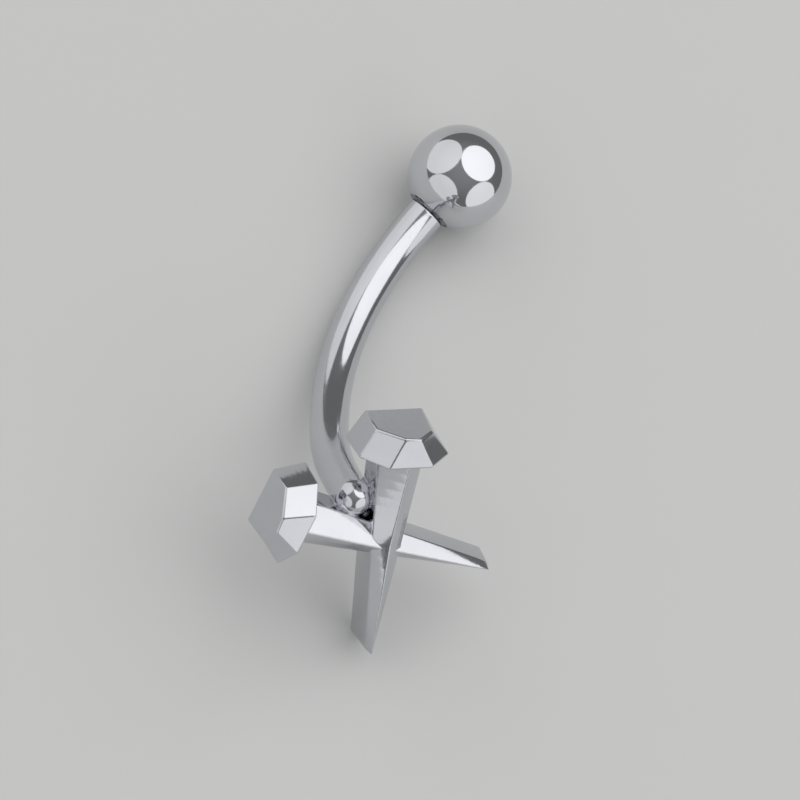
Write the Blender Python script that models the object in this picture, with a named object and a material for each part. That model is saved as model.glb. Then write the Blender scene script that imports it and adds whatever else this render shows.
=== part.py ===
"""A curved piercing bar with a screw ball at one end and two crossed nails soldered to the other."""

import math

import bmesh
import bpy
from mathutils import Matrix, Vector

# Units: every size below is in millimetres, and MM turns it into metres.
MM = 0.001

# Driving dimensions of the bar and the ball
BAR_DIAMETER = 1.2
BALL_DIAMETER = 3.2
STUD_DIAMETER = 0.84
STUD_LENGTH = 1.5
HOLE_CLEARANCE = 0.06
SEAT_GAP = 0.04
SEAT_FLAT_DEPTH = 0.13

# The bar's bend, seen in the frame of the crossed nails:
# X runs across the nails, Y up between their heads and Z out of their front.
# Its two directions are from the nails towards the ball and from the nails straight back. The second is
# longer than 1, because the bend is slightly drawn out that way.
ARC_RADIUS = 8.6
ARC_CENTRE = (8.43, 2.006, -0.067)
ARC_ACROSS = (0.98902, 0.14781, 0.0)
ARC_BACK = (0.0, -0.0694, -1.0935)
ARC_START = 27.0
ARC_END = 86.6

# The bar's rounded end lies in the crotch of the nails, and the bar leaves it straight back.
ROOT_POINT = (-0.069, 0.735, 0.415)
ROOT_HANDLE = 1.84
ARC_HANDLE = 2.23

# How finely round things are cut
ROUND_SIDES = 32
BALL_SIDES = 48
ARC_STEPS = 30
ROOT_STEPS = 14
WELD_DISTANCE = 1e-6

# How deep the stud starts inside the bar, and how far the ball's cutters reach out of it
STUD_ROOT = 0.4
CUTTER_REACH = 1.0

# The crossed nails: each leans this far from the line between the heads
NAIL_LEAN = 36.0

# A head's end face and rim, one row for each corner:
# along the nail, across it away from the crossing, and height above the flat back
END_FACE = (
    (-3.35, -0.40, 0.00),
    (-3.29, -0.38, 1.09),
    (-3.23, 0.36, 1.70),
    (-3.25, 0.815, 1.775),
    (-3.34, 1.35, 1.31),
    (-3.27, 1.43, 0.00),
)
RIM = (
    (-2.42, -0.92, 0.00),
    (-2.37, -0.84, 1.18),
    (-2.27, -0.045, 1.79),
    (-2.27, 1.32, 1.80),
    (-2.52, 1.96, 1.44),
    (-2.50, 1.98, 0.00),
)

# Three sections of each shank, inside the head, at the crossing and at the chisel tip.
# The rows are its long edges: back corner, front edge at the crotch, ridge, bevel and outer wall.
# The first nail lies lower, so that the second one stands in front where they cross.
SHANKS = {
    "lower": (
        ((-2.60, -0.15, 0), (-2.60, -0.14, 1.00), (-2.60, 0.64, 1.66), (-2.60, 1.22, 1.24), (-2.60, 1.22, 0)),
        ((0.60, 0.09, 0), (0.60, 0.09, 0.93), (0.60, 0.59, 1.42), (0.60, 0.97, 1.05), (0.60, 0.97, 0)),
        ((4.39, 0.315, 0), (4.44, 0.42, 0.67), (4.50, 0.55, 0.97), (4.48, 0.64, 0.80), (4.42, 0.64, 0)),
    ),
    "upper": (
        ((-2.60, -0.15, 0), (-2.60, -0.14, 0.90), (-2.60, 0.65, 1.75), (-2.60, 1.22, 1.30), (-2.60, 1.22, 0)),
        ((0.60, 0.09, 0), (0.60, 0.00, 1.28), (0.60, 0.52, 1.52), (0.60, 0.99, 1.22), (0.60, 0.99, 0)),
        ((4.39, 0.315, 0), (4.44, 0.42, 1.09), (4.50, 0.55, 1.39), (4.48, 0.64, 1.20), (4.42, 0.64, 0)),
    ),
}

# How the part lies on a surface: on the ball, the bar's bend and the tip of the upper nail.
# Turns in degrees about X, then Y, then Z.
REST_TURN = (46.731, -24.212, 66.422)


def start_empty():
    """Removes what the scene holds and gives the collections for the parts and the cutters."""
    for obj in list(bpy.data.objects):
        bpy.data.objects.remove(obj, do_unlink=True)
    parts = bpy.data.collections.new("vertical_labret")
    helpers = bpy.data.collections.new("cutters")
    for collection in (parts, helpers):
        bpy.context.scene.collection.children.link(collection)
    return parts, helpers


def steel(name, colour, roughness):
    material = bpy.data.materials.new(name)
    material.use_nodes = True
    shader = material.node_tree.nodes["Principled BSDF"]
    shader.inputs["Base Color"].default_value = (*colour, 1.0)
    shader.inputs["Metallic"].default_value = 1.0
    shader.inputs["Roughness"].default_value = roughness
    return material


def object_from(bm, name, collection, parent):
    bmesh.ops.recalc_face_normals(bm, faces=bm.faces)
    mesh = bpy.data.meshes.new(name)
    bm.to_mesh(mesh)
    bm.free()
    obj = bpy.data.objects.new(name, mesh)
    obj.parent = parent
    collection.objects.link(obj)
    return obj


def as_helper(obj):
    obj.hide_render = True
    obj.display_type = "WIRE"
    return obj


def boolean(obj, other, operation):
    modifier = obj.modifiers.new(operation.lower() + "_" + other.name, "BOOLEAN")
    modifier.operation = operation
    modifier.solver = "EXACT"
    modifier.object = other


def nail_point(row, side):
    """A row (along, across, height) of the nail on this side, -1 or 1, as a point between the two nails."""
    along, across, height = row
    lean = math.radians(NAIL_LEAN)
    x = side * (across * math.cos(lean) - along * math.sin(lean))
    y = -along * math.cos(lean) - across * math.sin(lean)
    return Vector((x, y, height)) * MM


def loft(sections, side, name, collection, parent):
    """The closed block through these sections, which have a corner for each long edge."""
    bm = bmesh.new()
    rings = [[bm.verts.new(nail_point(row, side)) for row in section] for section in sections]
    for ring, further in zip(rings, rings[1:]):
        for corner in range(len(ring)):
            after = (corner + 1) % len(ring)
            bm.faces.new((ring[corner], ring[after], further[after], further[corner]))
    bm.faces.new(rings[0])
    bm.faces.new(rings[-1])
    return object_from(bm, name, collection, parent)


def arc_point(degrees):
    """A point of the bar's bend, counted from where it would leave the nails, and the way it runs there."""
    angle = math.radians(degrees)
    across = ARC_RADIUS * Vector(ARC_ACROSS)
    back = ARC_RADIUS * Vector(ARC_BACK)
    point = Vector(ARC_CENTRE) - math.cos(angle) * across + math.sin(angle) * back
    tangent = math.sin(angle) * across + math.cos(angle) * back
    return point, tangent.normalized()


def bar_route():
    """The bar's centre line from its rounded end to its shoulder under the ball, in millimetres."""
    start = Vector(ROOT_POINT)
    join, heading = arc_point(ARC_START)
    first = start + ROOT_HANDLE * Vector((0.0, 0.0, -1.0))
    second = join - ARC_HANDLE * heading
    points = []
    for step in range(ROOT_STEPS):
        t = step / ROOT_STEPS
        rest = 1.0 - t
        points.append(rest**3 * start + 3 * rest**2 * t * first + 3 * rest * t**2 * second + t**3 * join)
    shoulder = shoulder_angle()
    for step in range(ARC_STEPS + 1):
        points.append(arc_point(ARC_START + (shoulder - ARC_START) * step / ARC_STEPS)[0])
    return points


def shoulder_angle():
    """Where along the arc the bar stops under the ball's seat."""
    reach = BALL_DIAMETER / 2 - SEAT_FLAT_DEPTH + SEAT_GAP
    return ARC_END - math.degrees(reach / ARC_RADIUS)


def tube(points, name, collection, parent):
    """A round bar along the points, as a closed mesh."""
    curve = bpy.data.curves.new(name, "CURVE")
    curve.dimensions = "3D"
    curve.bevel_depth = BAR_DIAMETER / 2 * MM
    curve.bevel_resolution = ROUND_SIDES // 4 - 2
    curve.use_fill_caps = True
    spline = curve.splines.new("POLY")
    spline.points.add(len(points) - 1)
    for point, place in zip(spline.points, points):
        point.co = (*(place * MM), 1.0)
    guide = bpy.data.objects.new(name + "_guide", curve)
    collection.objects.link(guide)
    bpy.context.view_layer.update()
    evaluated = guide.evaluated_get(bpy.context.evaluated_depsgraph_get())
    mesh = bpy.data.meshes.new_from_object(evaluated)
    bm = bmesh.new()
    bm.from_mesh(mesh)
    bmesh.ops.remove_doubles(bm, verts=bm.verts, dist=WELD_DISTANCE)
    bpy.data.objects.remove(guide, do_unlink=True)
    bpy.data.meshes.remove(mesh)
    return object_from(bm, name, collection, parent)


def ball_axis():
    """The ball's centre in millimetres and the way from the bar's shoulder to it."""
    shoulder, heading = arc_point(shoulder_angle())
    reach = BALL_DIAMETER / 2 - SEAT_FLAT_DEPTH + SEAT_GAP
    return shoulder + reach * heading, heading


def cylinder_on_axis(name, diameter, low, high, collection, parent):
    """A cylinder on the stud's axis, from low to high millimetres counted from the shoulder."""
    shoulder, heading = arc_point(shoulder_angle())
    bm = bmesh.new()
    bmesh.ops.create_cone(
        bm,
        cap_ends=True,
        segments=ROUND_SIDES,
        radius1=diameter / 2 * MM,
        radius2=diameter / 2 * MM,
        depth=(high - low) * MM,
    )
    place = Matrix.Translation((shoulder + heading * (low + high) / 2) * MM)
    turn = heading.to_track_quat("Z", "Y").to_matrix().to_4x4()
    bmesh.ops.transform(bm, matrix=place @ turn, verts=bm.verts)
    return object_from(bm, name, collection, parent)


def round_body(name, diameter, sides, centre, heading, collection, parent):
    """A ball of this diameter with its poles along the heading."""
    bm = bmesh.new()
    bmesh.ops.create_uvsphere(bm, u_segments=sides, v_segments=sides // 2, radius=diameter / 2 * MM)
    turn = heading.to_track_quat("Z", "Y").to_matrix().to_4x4()
    bmesh.ops.transform(bm, matrix=Matrix.Translation(centre * MM) @ turn, verts=bm.verts)
    return object_from(bm, name, collection, parent)


def crossed_nails(parts, helpers, parent):
    """Both nails and the bar as one soldered solid."""
    straight_back = Vector((0.0, 0.0, -1.0))
    solid = loft(SHANKS["lower"], -1, "barbell_and_nails", parts, parent)
    pieces = [
        loft((END_FACE, RIM), -1, "left_head", helpers, parent),
        loft(SHANKS["upper"], 1, "right_shank", helpers, parent),
        loft((END_FACE, RIM), 1, "right_head", helpers, parent),
        tube(bar_route(), "bar", helpers, parent),
        round_body("bar_end", BAR_DIAMETER, ROUND_SIDES, Vector(ROOT_POINT), straight_back, helpers, parent),
        cylinder_on_axis("stud", STUD_DIAMETER, -STUD_ROOT, STUD_LENGTH, helpers, parent),
    ]
    for piece in pieces:
        boolean(solid, as_helper(piece), "UNION")
    solid.data.materials.append(steel("nail_steel", (0.60, 0.61, 0.63), 0.15))
    return solid


def screw_ball(parts, helpers, parent):
    """The ball, with a small flat seat and a blind hole for the stud."""
    centre, heading = ball_axis()
    ball = round_body("screw_ball", BALL_DIAMETER, BALL_SIDES, centre, heading, parts, parent)
    hole_diameter = STUD_DIAMETER + 2 * HOLE_CLEARANCE
    hole_end = STUD_LENGTH + HOLE_CLEARANCE
    hole = cylinder_on_axis("ball_hole", hole_diameter, -CUTTER_REACH, hole_end, helpers, parent)
    seat = cylinder_on_axis("ball_seat", BALL_DIAMETER, -CUTTER_REACH, SEAT_GAP, helpers, parent)
    boolean(ball, as_helper(seat), "DIFFERENCE")
    boolean(ball, as_helper(hole), "DIFFERENCE")
    ball.data.materials.append(steel("ball_steel", (0.62, 0.63, 0.66), 0.08))
    return ball


def set_down(rest, pieces):
    """Lowers the turned part onto Z = 0, with the origin under the middle of its box."""
    bpy.context.view_layer.update()
    graph = bpy.context.evaluated_depsgraph_get()
    corners = []
    for piece in pieces:
        evaluated = piece.evaluated_get(graph)
        mesh = evaluated.to_mesh()
        corners += [evaluated.matrix_world @ vertex.co for vertex in mesh.vertices]
        evaluated.to_mesh_clear()
    low = [min(corner[axis] for corner in corners) for axis in range(3)]
    high = [max(corner[axis] for corner in corners) for axis in range(3)]
    rest.location = (-(low[0] + high[0]) / 2, -(low[1] + high[1]) / 2, -low[2])


def main():
    parts, helpers = start_empty()
    rest = bpy.data.objects.new("rest_pose", None)
    rest.rotation_euler = [math.radians(angle) for angle in REST_TURN]
    parts.objects.link(rest)
    pieces = (crossed_nails(parts, helpers, rest), screw_ball(parts, helpers, rest))
    for piece in pieces:
        piece.data.shade_smooth()
        piece.data.set_sharp_from_angle(angle=math.radians(30.0))
    set_down(rest, pieces)


main()
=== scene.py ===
# Vertical labret in polished steel: a curved bar with a screw ball, and two crossed square-cut nails.
# Everything is modelled in the frame of the crossed nails (X across, Y up between the heads, Z out of
# their front) in millimetres, and then laid down as the real one lies by itself.
import math

import bpy
from mathutils import Euler, Matrix, Vector


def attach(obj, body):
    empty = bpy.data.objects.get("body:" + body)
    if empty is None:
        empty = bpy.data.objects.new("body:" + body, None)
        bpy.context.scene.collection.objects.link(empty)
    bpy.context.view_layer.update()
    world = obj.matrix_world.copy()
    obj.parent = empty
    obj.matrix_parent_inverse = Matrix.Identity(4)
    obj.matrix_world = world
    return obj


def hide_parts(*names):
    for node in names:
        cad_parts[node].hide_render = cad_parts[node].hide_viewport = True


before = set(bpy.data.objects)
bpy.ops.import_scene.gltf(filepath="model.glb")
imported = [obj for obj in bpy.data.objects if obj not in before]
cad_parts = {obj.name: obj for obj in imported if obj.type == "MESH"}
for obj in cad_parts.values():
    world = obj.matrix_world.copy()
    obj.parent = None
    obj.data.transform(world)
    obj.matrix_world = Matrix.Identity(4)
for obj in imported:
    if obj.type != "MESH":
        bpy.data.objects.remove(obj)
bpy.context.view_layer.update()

mm = 0.001

# How the part lies on the floor, the same turn and place as in the CAD
lying = {
    "turn": (46.731, -24.212, 66.422),      # degrees about X, Y and Z
    "place": (0.3636, -5.0570, 3.4777),    # mm
}


def lyingMatrix():
    turn = Euler([math.radians(angle) for angle in lying["turn"]], "XYZ")
    return Matrix.Translation(Vector(lying["place"]) * mm) @ turn.to_matrix().to_4x4()


# Small helpers for modelling by hand

def only(piece):
    if bpy.context.mode != "OBJECT":
        bpy.ops.object.mode_set(mode="OBJECT")
    bpy.ops.object.select_all(action="DESELECT")
    if piece:
        piece.select_set(True)
        bpy.context.view_layer.objects.active = piece


def added(name):
    piece = bpy.context.object
    piece.name = name
    return piece


def editMode(how="EDGE"):
    bpy.ops.object.mode_set(mode="EDIT")
    bpy.ops.mesh.select_mode(type=how)


def objectMode():
    bpy.ops.object.mode_set(mode="OBJECT")


def pickNothing(piece):
    for group in (piece.data.vertices, piece.data.edges, piece.data.polygons):
        group.foreach_set("select", [False] * len(group))


def pickSharpEdges(piece, degrees):
    # edges where two faces meet at more than this angle
    faces = {}
    for face in piece.data.polygons:
        for key in face.edge_keys:
            faces.setdefault(key, []).append(face.normal.copy())
    pickNothing(piece)
    for edge in piece.data.edges:
        beside = faces.get(edge.key, [])
        if len(beside) == 2 and beside[0].angle(beside[1], 0.0) > math.radians(degrees):
            edge.select = True


def roundEdges(piece, width, degrees=20.0, segments=4):
    only(piece)
    pickSharpEdges(piece, degrees)
    editMode("EDGE")
    bpy.ops.mesh.bevel(offset=width * mm, segments=segments, profile=0.5, clamp_overlap=True)
    objectMode()


def facesOut(piece):
    only(piece)
    editMode("VERT")
    bpy.ops.mesh.select_all(action="SELECT")
    bpy.ops.mesh.remove_doubles(threshold=1e-7)
    bpy.ops.mesh.normals_make_consistent(inside=False)
    objectMode()


def applyAll(piece):
    only(piece)
    for modifier in list(piece.modifiers):
        bpy.ops.object.modifier_apply(modifier=modifier.name)


def combine(piece, other, operation):
    step = piece.modifiers.new(operation.lower(), "BOOLEAN")
    step.operation = operation
    step.solver = "EXACT"
    step.object = other
    applyAll(piece)
    bpy.data.objects.remove(other, do_unlink=True)


def extrudedBlock(name, rings):
    # a filled circle whose corners are dragged to the first ring, then pulled out ring by ring
    only(None)
    bpy.ops.mesh.primitive_circle_add(vertices=len(rings[0]), radius=mm, fill_type="NGON")
    piece = added(name)
    for vertex, corner in zip(piece.data.vertices, rings[0]):
        vertex.co = corner
    for before, after in zip(rings, rings[1:]):
        editMode("VERT")
        bpy.ops.mesh.extrude_region()
        objectMode()
        for vertex in piece.data.vertices:
            if vertex.select:
                nearest = min(range(len(before)), key=lambda i: (vertex.co - before[i]).length_squared)
                vertex.co = after[nearest]
    facesOut(piece)
    return piece


def between(first, second, share):
    return [a.lerp(b, share) for a, b in zip(first, second)]


# The nails. A row is (along the nail, across it away from the crossing, height above the flat back).

nails = {
    "lean": 36.0,                 # degrees from the line between the heads
    "edgeRound": 0.045,           # mm
    "headRound": 0.055,
    "endTilt": 0.045,             # how far the end face leans, mm for each mm of height
    "endAlong": -3.335,
    "endFace": (                  # across, height
        (-0.40, 0.00), (-0.38, 1.09), (0.36, 1.70), (0.815, 1.775), (1.35, 1.31), (1.43, 0.00),
    ),
    "rim": (
        (-2.42, -0.92, 0.00), (-2.37, -0.84, 1.18), (-2.27, -0.045, 1.79),
        (-2.27, 1.32, 1.80), (-2.52, 1.96, 1.44), (-2.50, 1.98, 0.00),
    ),
    "neck": (                     # the underside's inner ring, just inside the shank
        (-2.20, -0.05, 0.02), (-2.20, -0.05, 0.85), (-2.20, 0.50, 1.45),
        (-2.20, 0.75, 1.45), (-2.20, 1.10, 1.05), (-2.20, 1.10, 0.02),
    ),
    "lowerShank": (
        (
            (-2.60, -0.15, 0.0), (-2.60, -0.14, 1.00), (-2.60, 0.64, 1.66),
            (-2.60, 1.22, 1.24), (-2.60, 1.22, 0.0),
        ),
        ((0.60, 0.09, 0.0), (0.60, 0.09, 0.93), (0.60, 0.59, 1.42), (0.60, 0.97, 1.05), (0.60, 0.97, 0.0)),
        ((4.39, 0.315, 0.0), (4.44, 0.42, 0.67), (4.50, 0.55, 0.97), (4.48, 0.64, 0.80), (4.42, 0.64, 0.0)),
    ),
    "upperShank": (
        (
            (-2.60, -0.15, 0.0), (-2.60, -0.14, 0.90), (-2.60, 0.65, 1.75),
            (-2.60, 1.22, 1.30), (-2.60, 1.22, 0.0),
        ),
        ((0.60, 0.00, 0.0), (0.60, 0.00, 1.28), (0.60, 0.52, 1.52), (0.60, 0.99, 1.22), (0.60, 0.99, 0.0)),
        ((4.39, 0.315, 0.0), (4.44, 0.42, 1.09), (4.50, 0.55, 1.39), (4.48, 0.64, 1.20), (4.42, 0.64, 0.0)),
    ),
}


def nailPoint(row, side):
    along, across, height = row
    lean = math.radians(nails["lean"])
    x = side * (across * math.cos(lean) - along * math.sin(lean))
    y = -along * math.cos(lean) - across * math.sin(lean)
    return Vector((x, y, height)) * mm


def nailRing(rows, side):
    return [nailPoint(row, side) for row in rows]


def modelHead(name, side):
    endFace = [
        (nails["endAlong"] + nails["endTilt"] * height, across, height)
        for across, height in nails["endFace"]
    ]
    end = nailRing(endFace, side)
    rim = nailRing(nails["rim"], side)
    neck = nailRing(nails["neck"], side)
    rings = [between(end, rim, step / 6) for step in range(7)] + [neck]
    head = extrudedBlock(name, rings)
    roundEdges(head, nails["headRound"])
    return head


def modelShank(name, sections, side, steps=10):
    top, crossing, tip = [nailRing(rows, side) for rows in sections]
    rings = [between(top, crossing, step / steps) for step in range(steps)]
    rings += [between(crossing, tip, step / steps) for step in range(steps + 1)]
    shank = extrudedBlock(name, rings)
    roundEdges(shank, nails["edgeRound"])
    return shank


# The bar: a rounded end in the crotch of the nails, a long bend, and a threaded stud under the ball

bar = {
    "diameter": 1.2,
    "endPoint": (-0.069, 0.735, 0.415),
    "endHandle": 1.84,
    "bendHandle": 2.23,
    "bendRadius": 8.6,
    "bendCentre": (8.43, 2.006, -0.067),
    "across": (0.98902, 0.14781, 0.0),
    "back": (0.0, -0.0694, -1.0935),        # a little drawn out backwards
    "bendStart": 27.0,            # degrees along the bend
    "bendEnd": 86.6,
    "shoulderRound": 0.04,
    "studDiameter": 0.84,
    "studLength": 1.5,
    "threadPitch": 0.25,
    "threadDepth": 0.07,
}

ball = {
    "diameter": 3.2,
    "seatDepth": 0.12,
    "seatGap": 0.03,
    "seatRound": 0.03,
    "holeDiameter": 0.96,
    "holeDepth": 1.52,
}


def bendPoint(degrees):
    angle = math.radians(degrees)
    across = bar["bendRadius"] * Vector(bar["across"])
    back = bar["bendRadius"] * Vector(bar["back"])
    point = Vector(bar["bendCentre"]) - math.cos(angle) * across + math.sin(angle) * back
    return point, math.sin(angle) * across + math.cos(angle) * back


def ballReach():
    return ball["diameter"] / 2 - ball["seatDepth"] + ball["seatGap"]


def shoulderAngle():
    return bar["bendEnd"] - math.degrees(ballReach() / bar["bendRadius"])


def studMatrix():
    # +Z along the stud, with the origin in the middle of the bar's shoulder
    shoulder, heading = bendPoint(shoulderAngle())
    return Matrix.Translation(shoulder * mm) @ heading.to_track_quat("Z", "Y").to_matrix().to_4x4()


def modelBar():
    only(None)
    bpy.ops.curve.primitive_bezier_curve_add()
    route = added("bar")
    spline = route.data.splines[0]
    bendParts = 4
    spline.bezier_points.add(bendParts)
    end = Vector(bar["endPoint"])
    stretch = (shoulderAngle() - bar["bendStart"]) / bendParts
    third = 4.0 / 3.0 * math.tan(math.radians(stretch) / 4.0)
    places = [(end, Vector((0.0, 0.0, -bar["endHandle"])), None)]
    for step in range(bendParts + 1):
        point, along = bendPoint(bar["bendStart"] + stretch * step)
        before = along.normalized() * bar["bendHandle"] if step == 0 else along * third
        places.append((point, along * third, before))
    for knot, (point, after, before) in zip(spline.bezier_points, places):
        knot.handle_left_type = knot.handle_right_type = "FREE"
        knot.co = point * mm
        knot.handle_left = (point - (before or after)) * mm
        knot.handle_right = (point + after) * mm
    route.data.dimensions = "3D"
    route.data.resolution_u = 28
    route.data.bevel_depth = bar["diameter"] / 2 * mm
    route.data.bevel_resolution = 14
    route.data.use_fill_caps = True
    only(route)
    bpy.ops.object.convert(target="MESH")
    piece = added("bar")
    facesOut(piece)
    roundEdges(piece, bar["shoulderRound"], degrees=60.0, segments=3)
    return piece


def modelBarEnd():
    only(None)
    bpy.ops.mesh.primitive_uv_sphere_add(
        segments=64, ring_count=32, radius=bar["diameter"] / 2 * mm, location=Vector(bar["endPoint"]) * mm
    )
    piece = added("barEnd")
    only(piece)
    bpy.ops.object.transform_apply(location=True, rotation=True, scale=True)
    return piece


def modelStud():
    # a fine cylinder whose surface is pushed in along a helix
    only(None)
    low = 0.3
    length = bar["studLength"] + low
    bpy.ops.mesh.primitive_cylinder_add(
        vertices=48, radius=bar["studDiameter"] / 2 * mm, depth=length * mm, end_fill_type="NGON"
    )
    piece = added("stud")
    corners = piece.data.vertices
    sides = [
        edge for edge in piece.data.edges
        if abs(corners[edge.vertices[0]].co.z - corners[edge.vertices[1]].co.z) > 0.1 * mm
    ]
    pickNothing(piece)
    for edge in sides:
        edge.select = True
    editMode("EDGE")
    bpy.ops.mesh.subdivide_edgering(number_cuts=70, smoothness=0.0)
    objectMode()
    for vertex in piece.data.vertices:
        height = vertex.co.z / mm + length / 2
        turn = math.atan2(vertex.co.y, vertex.co.x) / (2 * math.pi)
        wave = abs(((height / bar["threadPitch"] - turn) % 1.0) * 2.0 - 1.0)
        runIn = min(1.0, max(0.0, (height - low - 0.05) / 0.15))
        cut = bar["threadDepth"] * wave * runIn
        tipTaper = max(0.0, height - (length - 0.12)) * 0.8
        shrink = 1.0 - (cut + tipTaper) / (bar["studDiameter"] / 2)
        vertex.co.x *= shrink
        vertex.co.y *= shrink
        vertex.co.z += (length / 2 - low) * mm
    piece.matrix_world = studMatrix()
    only(piece)
    bpy.ops.object.transform_apply(location=True, rotation=True, scale=True)
    facesOut(piece)
    return piece


def modelBall():
    only(None)
    bpy.ops.mesh.primitive_uv_sphere_add(segments=128, ring_count=64, radius=ball["diameter"] / 2 * mm)
    piece = added("polished_ball")
    # asks for a flat seat cut off below and a blind hole pushed into it, but the hole is missing from
    # the finished mesh and the seat comes out too small
    seatHeight = (ball["seatDepth"] - ball["diameter"] / 2) * mm
    editMode("FACE")
    bpy.ops.mesh.select_all(action="SELECT")
    bpy.ops.mesh.bisect(plane_co=(0, 0, seatHeight), plane_no=(0, 0, -1), use_fill=True, clear_outer=True)
    objectMode()
    pickNothing(piece)
    for face in piece.data.polygons:
        face.select = face.normal.z < -0.999 and abs(face.center.z - seatHeight) < 0.01 * mm
    seatRadius = math.sqrt((ball["diameter"] / 2) ** 2 - (ball["diameter"] / 2 - ball["seatDepth"]) ** 2)
    editMode("FACE")
    bpy.ops.mesh.inset(thickness=(seatRadius - ball["holeDiameter"] / 2) * mm)
    bpy.ops.mesh.extrude_region_move(TRANSFORM_OT_translate={"value": (0, 0, ball["holeDepth"] * mm)})
    objectMode()
    facesOut(piece)
    roundEdges(piece, ball["seatRound"], degrees=40.0, segments=3)
    place = studMatrix() @ Matrix.Translation((0, 0, ballReach() * mm))
    piece.matrix_world = place
    only(piece)
    bpy.ops.object.transform_apply(location=True, rotation=True, scale=True)
    return piece


def layDown(piece):
    piece.matrix_world = lyingMatrix()
    only(piece)
    bpy.ops.object.transform_apply(location=True, rotation=True, scale=True)


def finishShading(piece, degrees):
    only(piece)
    bpy.ops.object.shade_smooth_by_angle(angle=math.radians(degrees))
    weigh = piece.modifiers.new("weigh", "WEIGHTED_NORMAL")
    weigh.keep_sharp = True
    weigh.weight = 60
    applyAll(piece)


def modelBarAndNails():
    piece = modelShank("crossed_nails_and_bar", nails["lowerShank"], -1)
    for other in (
        modelHead("leftHead", -1),
        modelShank("upperShank", nails["upperShank"], 1),
        modelHead("rightHead", 1),
        modelBar(),
        modelBarEnd(),
        modelStud(),
    ):
        combine(piece, other, "UNION")
        print("joined", len(piece.data.vertices))
    return piece


# Shader maths as expressions: a wrapped socket adds its Math nodes

class Wire:
    def __init__(self, tree, socket):
        self.tree = tree
        self.socket = socket

    def maths(self, operation, *values):
        return self.tree.node("ShaderNodeMath", {"operation": operation}, *values)

    def __add__(self, other):
        return self.maths("ADD", self, other)

    def __radd__(self, other):
        return self.maths("ADD", other, self)

    def __sub__(self, other):
        return self.maths("SUBTRACT", self, other)

    def __rsub__(self, other):
        return self.maths("SUBTRACT", other, self)

    def __mul__(self, other):
        return self.maths("MULTIPLY", self, other)

    def __rmul__(self, other):
        return self.maths("MULTIPLY", other, self)

    def __pow__(self, other):
        return self.maths("POWER", self, other)


class Nodes:
    def __init__(self, tree):
        self.tree = tree

    def node(self, kind, settings, *values, out=0, **named):
        made = self.tree.nodes.new(kind)
        for key, value in settings.items():
            if key == "stops":
                ramp = made.color_ramp
                ramp.elements[0].position, ramp.elements[0].color = value[0]
                ramp.elements[1].position, ramp.elements[1].color = value[-1]
                for position, colour in value[1:-1]:
                    ramp.elements.new(position).color = colour
            else:
                setattr(made, key, value)
        wanted = list(enumerate(values))
        wanted += [(key.replace("_", " "), value) for key, value in named.items()]
        for key, value in wanted:
            socket = made.inputs[key]
            if isinstance(value, Wire):
                self.tree.links.new(value.socket, socket)
            else:
                socket.default_value = value
        return Wire(self, made.outputs[out])


def grey(value):
    return (value, value, value, 1.0)


barSteel = {
    "name": "polishedBarSteel",
    "light": (0.66, 0.67, 0.70, 1.0),
    "dark": (0.52, 0.53, 0.565, 1.0),
    "rough": 0.07,
    "roughSpread": 0.07,
    "scratchBump": 0.05,
    "cornerRound": 0.05,          # mm, rounds the soldered joints in the shading
}

ballSteel = {
    "name": "polishedBallSteel",
    "light": (0.68, 0.69, 0.72, 1.0),
    "dark": (0.58, 0.59, 0.62, 1.0),
    "rough": 0.035,
    "roughSpread": 0.05,
    "scratchBump": 0.025,
    "cornerRound": 0.02,
}


def polishedSteel(look):
    material = bpy.data.materials.new(look["name"])
    material.use_nodes = True
    tree = Nodes(material.node_tree)
    shader = material.node_tree.nodes["Principled BSDF"]
    place = tree.node("ShaderNodeTexCoord", {}, out=3)

    def noise(scale, detail, where=place):
        return tree.node("ShaderNodeTexNoise", {}, Vector=where, Scale=scale, Detail=detail)

    def scratches(turn, scale, share):
        # noise stretched along one way leaves long hair lines where it crosses a thin band
        stretch = (scale, scale * 0.03, scale)
        streaks = tree.node("ShaderNodeMapping", {}, Vector=place, Rotation=turn, Scale=stretch)
        field = noise(1.0, 2.0, streaks)
        return tree.node("ShaderNodeValToRGB", {"stops": (
            (0.5 - share, grey(0.0)), (0.5, grey(1.0)), (0.5 + share, grey(0.0)))}, field)

    clouds = noise(420.0, 3.0)
    smudges = noise(1100.0, 4.0)
    hairs = scratches((0.3, 0.9, 0.2), 9000.0, 0.010) + scratches((1.2, 0.1, 0.8), 12000.0, 0.008)
    tone = tree.node("ShaderNodeMix", {"data_type": "RGBA"}, out=2)
    mix = material.node_tree.nodes[-1]
    mix.inputs[6].default_value = look["dark"]
    mix.inputs[7].default_value = look["light"]
    share = clouds * 0.9 + smudges * 0.25 - hairs * 0.12
    material.node_tree.links.new(share.socket, mix.inputs[0])
    material.node_tree.links.new(tone.socket, shader.inputs["Base Color"])
    rough = look["rough"] + look["roughSpread"] * (smudges ** 2.0) + 0.06 * hairs
    material.node_tree.links.new(rough.socket, shader.inputs["Roughness"])
    shader.inputs["Metallic"].default_value = 1.0
    corners = tree.node("ShaderNodeBevel", {"samples": 6}, Radius=look["cornerRound"] * mm)
    relief = noise(2600.0, 2.0) * 0.5 - hairs * 0.5
    bump = tree.node(
        "ShaderNodeBump", {}, Strength=look["scratchBump"], Distance=0.01 * mm, Height=relief, Normal=corners
    )
    material.node_tree.links.new(bump.socket, shader.inputs["Normal"])
    return material


# The floor, the lights and the camera

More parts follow.
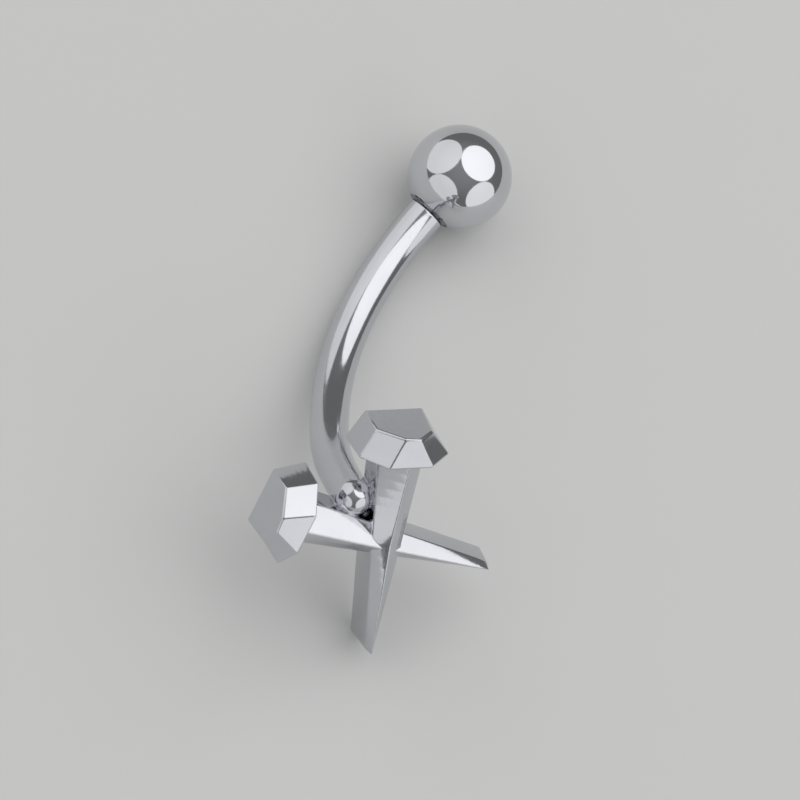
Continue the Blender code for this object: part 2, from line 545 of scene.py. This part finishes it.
studio = {
    "floorSize": 3.0,             # m
    "floorColour": (0.62, 0.62, 0.615, 1.0),
    "lampDistance": 0.25,
    # name; where it stands (right, up, towards the camera); half angle; strength
    "lamps": (
        ("upperLeftLamp", (-0.546, 0.705, 0.455), 38.0, 0.72),
        ("upperRightLamp", (0.66, 0.488, 0.573), 37.5, 1.15),
        ("lowerLeftLamp", (-0.64, -0.48, 0.60), 35.0, 0.68),
        ("lowerRightLamp", (0.68, -0.632, 0.37), 31.0, 0.84),
    ),
    "skyLow": 0.18,
    "skyHigh": 0.30,
}

view = {
    "pxPerMm": 33.0,
    "framePx": 800.0,
    "originPx": (361.4, 504.3),   # where the nails' crotch lies in the photo
    "right": (0.842, -0.433, 0.322),
    "towards": (0.0, 0.596, 0.803),
    "lens": 900.0,
    "sensor": 36.0,
    "focusDepth": -3.0,           # mm, the middle of the part behind the crotch
}


def viewAxes():
    turn = lyingMatrix().to_3x3()
    towards = (turn @ Vector(view["towards"])).normalized()
    right = turn @ Vector(view["right"])
    right = (right - towards * right.dot(towards)).normalized()
    return right, towards.cross(right), towards


def placeCamera():
    right, up, towards = viewAxes()
    middle = view["framePx"] / 2
    crotch = lyingMatrix().translation
    aside = (middle - view["originPx"][0]) / view["pxPerMm"]
    above = (view["originPx"][1] - middle) / view["pxPerMm"]
    target = crotch + (right * aside + up * above + towards * view["focusDepth"]) * mm
    width = view["framePx"] / view["pxPerMm"] * mm
    distance = width / view["sensor"] * view["lens"]
    only(None)
    bpy.ops.object.camera_add()
    camera = added("camera")
    facing = Matrix((right, up, towards)).transposed().to_4x4()
    camera.matrix_world = Matrix.Translation(target + towards * distance) @ facing
    camera.data.lens = view["lens"]
    camera.data.sensor_width = view["sensor"]
    camera.data.clip_start = 0.01
    camera.data.clip_end = 20.0
    bpy.context.scene.camera = camera


def placeLights():
    right, up, towards = viewAxes()
    for name, way, halfAngle, strength in studio["lamps"]:
        heading = (right * way[0] + up * way[1] + towards * way[2]).normalized()
        radius = studio["lampDistance"] * math.tan(math.radians(halfAngle))
        only(None)
        bpy.ops.object.light_add(type="AREA", location=heading * studio["lampDistance"])
        lamp = added(name)
        lamp.rotation_euler = heading.to_track_quat("Z", "Y").to_euler()
        lamp.data.shape = "DISK"
        lamp.data.size = radius * 2
        lamp.data.energy = strength * math.pi * math.pi * radius**2
        lamp.visible_camera = False
    world = bpy.data.worlds.new("softSky")
    bpy.context.scene.world = world
    world.use_nodes = True
    tree = Nodes(world.node_tree)
    way = tree.node("ShaderNodeTexCoord", {}, out=0)
    height = tree.node("ShaderNodeSeparateXYZ", {}, way, out=2)
    low = grey(studio["skyLow"])
    high = grey(studio["skyHigh"])
    sky = tree.node("ShaderNodeValToRGB", {"stops": ((0.0, low), (0.35, low), (1.0, high))}, height)
    world.node_tree.links.new(sky.socket, world.node_tree.nodes["Background"].inputs["Color"])


def placeFloor():
    only(None)
    bpy.ops.mesh.primitive_plane_add(size=studio["floorSize"])
    floor = added("floor")
    material = bpy.data.materials.new("paleFloor")
    material.use_nodes = True
    shader = material.node_tree.nodes["Principled BSDF"]
    shader.inputs["Base Color"].default_value = studio["floorColour"]
    shader.inputs["Roughness"].default_value = 0.6
    floor.data.materials.append(material)


print("camera, lights and floor")
placeCamera()
placeLights()
placeFloor()
bpy.context.scene.view_settings.view_transform = "Standard"

print("bar and nails")
barAndNails = modelBarAndNails()
layDown(barAndNails)
finishShading(barAndNails, 30.0)
barAndNails.data.materials.clear()
barAndNails.data.materials.append(polishedSteel(barSteel))
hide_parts("barbell_and_nails")
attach(barAndNails, "bar")

print("ball")
polishedBall = modelBall()
layDown(polishedBall)
finishShading(polishedBall, 35.0)
polishedBall.data.materials.append(polishedSteel(ballSteel))
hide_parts("screw_ball")
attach(polishedBall, "ball")

print("finished")
